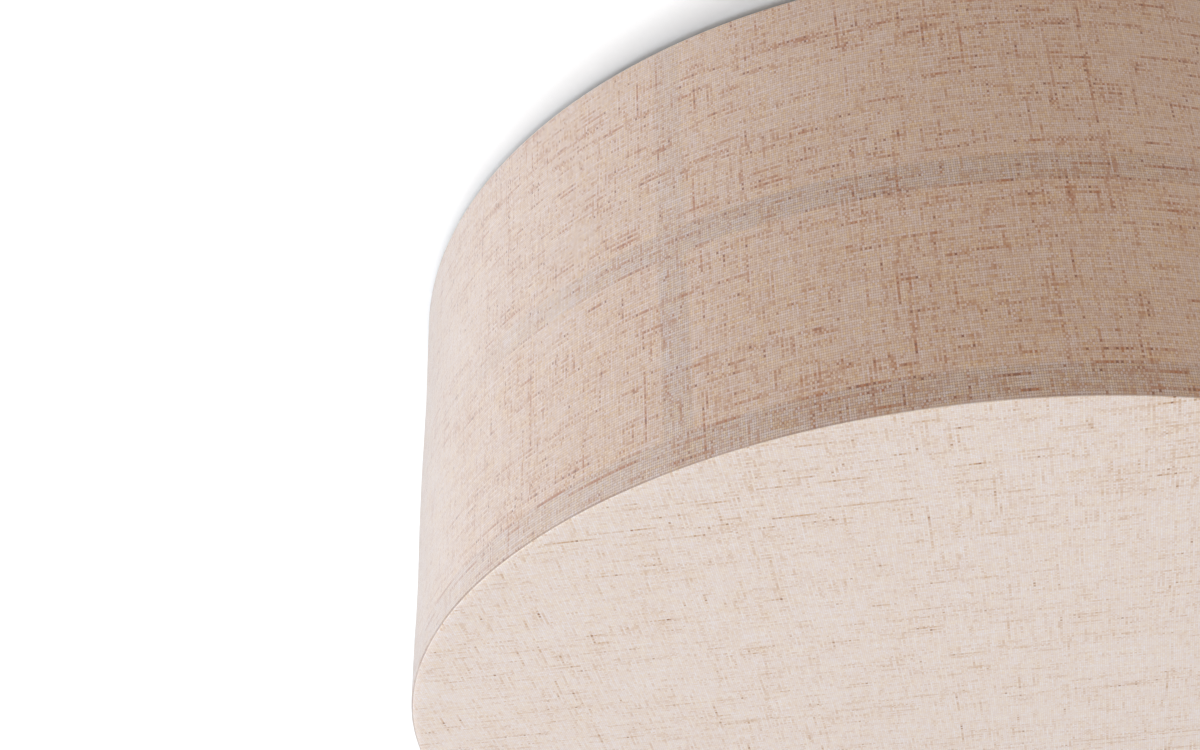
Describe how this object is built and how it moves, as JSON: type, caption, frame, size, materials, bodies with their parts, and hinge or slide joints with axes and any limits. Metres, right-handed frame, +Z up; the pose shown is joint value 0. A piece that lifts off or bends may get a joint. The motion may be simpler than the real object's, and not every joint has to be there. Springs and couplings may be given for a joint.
{
  "type": "flush mount ceiling light",
  "caption": "Flush mount ceiling light: cloth drum shade with a cloth-covered bottom on a turn-and-lock ceiling pan, screw lamps inside.",
  "frame": {"origin": "centre of the pan's ceiling face, on the drum's axis", "axes": "+Z up out of the ceiling face along the drum's axis, -Y towards the front, +X to the right"},
  "size_m": [0.4, 0.4005, 0.162],
  "materials": {
    "linen": "woven slub linen",
    "frame_white": "white powder coat",
    "opal_sheet": "opal",
    "pan_white": "white enamel",
    "steel": "zinc plated",
    "brass": "bright",
    "solder": "solder",
    "rubber_black": "matt",
    "block_plastic": "moulded",
    "holder_plastic": "moulded",
    "insert_ceramic": "unglazed",
    "bulb_base": "nickel plated",
    "insulator_black": "black",
    "bulb_plastic": "satin",
    "bulb_globe": "frosted",
    "lead_brown": "insulation",
    "lead_blue": "insulation",
    "lead_green": "green and yellow insulation"
  },
  "bodies": {
    "root": {"ceiling_pan": "pan_white", "cable_grommet": "rubber_black", "terminal_block": "block_plastic", "terminal_tubes": "brass", "terminal_screws": "steel", "block_screw": "steel", "earth_stud": "steel", "earth_tag": "steel", "earth_washer": "steel", "earth_nut": "brass", "bracket_screws": "steel", "holder_nipples": "steel", "nipple_nuts": "steel", "centre_contacts": "brass", "live_leads": "lead_brown", "neutral_leads": "lead_blue", "earth_lead": "lead_green", "holder_bracket_1": "frame_white", "holder_cap_1": "holder_plastic", "holder_skirt_1": "holder_plastic", "holder_insert_1": "insert_ceramic", "screw_shell_1": "brass", "holder_bracket_2": "frame_white", "holder_cap_2": "holder_plastic", "holder_skirt_2": "holder_plastic", "holder_insert_2": "insert_ceramic", "screw_shell_2": "brass", "holder_bracket_3": "frame_white", "holder_cap_3": "holder_plastic", "holder_skirt_3": "holder_plastic", "holder_insert_3": "insert_ceramic", "screw_shell_3": "brass"},
    "shade": {"shade_cloth": "linen", "top_ring": "frame_white", "middle_ring": "frame_white", "bottom_ring": "frame_white", "uprights": "frame_white", "fitter_ring": "frame_white", "fitter_arms": "frame_white", "diffuser_hoop": "frame_white", "diffuser_sheet": "opal_sheet", "diffuser_cloth": "linen", "diffuser_clips": "steel"},
    "bulb_1_centre": {"bulb_1_tip": "solder"},
    "bulb_1": {"bulb_1_insulator": "insulator_black", "bulb_1_base": "bulb_base", "bulb_1_collar": "bulb_plastic", "bulb_1_globe": "bulb_globe"},
    "bulb_2_centre": {"bulb_2_tip": "solder"},
    "bulb_2": {"bulb_2_insulator": "insulator_black", "bulb_2_base": "bulb_base", "bulb_2_collar": "bulb_plastic", "bulb_2_globe": "bulb_globe"},
    "bulb_3_centre": {"bulb_3_tip": "solder"},
    "bulb_3": {"bulb_3_insulator": "insulator_black", "bulb_3_base": "bulb_base", "bulb_3_collar": "bulb_plastic", "bulb_3_globe": "bulb_globe"}
  },
  "joints": [
    {"name": "shade_unlock", "type": "hinge", "parent": "root", "child": "shade", "pos_m": [0, 0, 0], "axis": [0, 0, -1], "range_deg": [0, 20]},
    {"name": "bulb_1_travel", "type": "slide", "parent": "root", "child": "bulb_1_centre", "axis": [0, 1, 0], "range_m": [0, 0.02]},
    {"name": "bulb_1_unscrew", "type": "hinge", "parent": "bulb_1_centre", "child": "bulb_1", "pos_m": [0, 0, -0.062], "axis": [0, 1, 0], "range_deg": [0, 1980]},
    {"name": "bulb_2_travel", "type": "slide", "parent": "root", "child": "bulb_2_centre", "axis": [-0.866, -0.5, 0], "range_m": [0, 0.02]},
    {"name": "bulb_2_unscrew", "type": "hinge", "parent": "bulb_2_centre", "child": "bulb_2", "pos_m": [0, 0, -0.062], "axis": [-0.866, -0.5, 0], "range_deg": [0, 1980]},
    {"name": "bulb_3_travel", "type": "slide", "parent": "root", "child": "bulb_3_centre", "axis": [0.866, -0.5, 0], "range_m": [0, 0.02]},
    {"name": "bulb_3_unscrew", "type": "hinge", "parent": "bulb_3_centre", "child": "bulb_3", "pos_m": [0, 0, -0.062], "axis": [0.866, -0.5, 0], "range_deg": [0, 1980]}
  ],
  "couplings": [
    {"joint": "bulb_1_travel", "follows": "bulb_1_unscrew", "m_per_rad": 0.00057757},
    {"joint": "bulb_2_travel", "follows": "bulb_2_unscrew", "m_per_rad": 0.00057757},
    {"joint": "bulb_3_travel", "follows": "bulb_3_unscrew", "m_per_rad": 0.00057757}
  ]
}
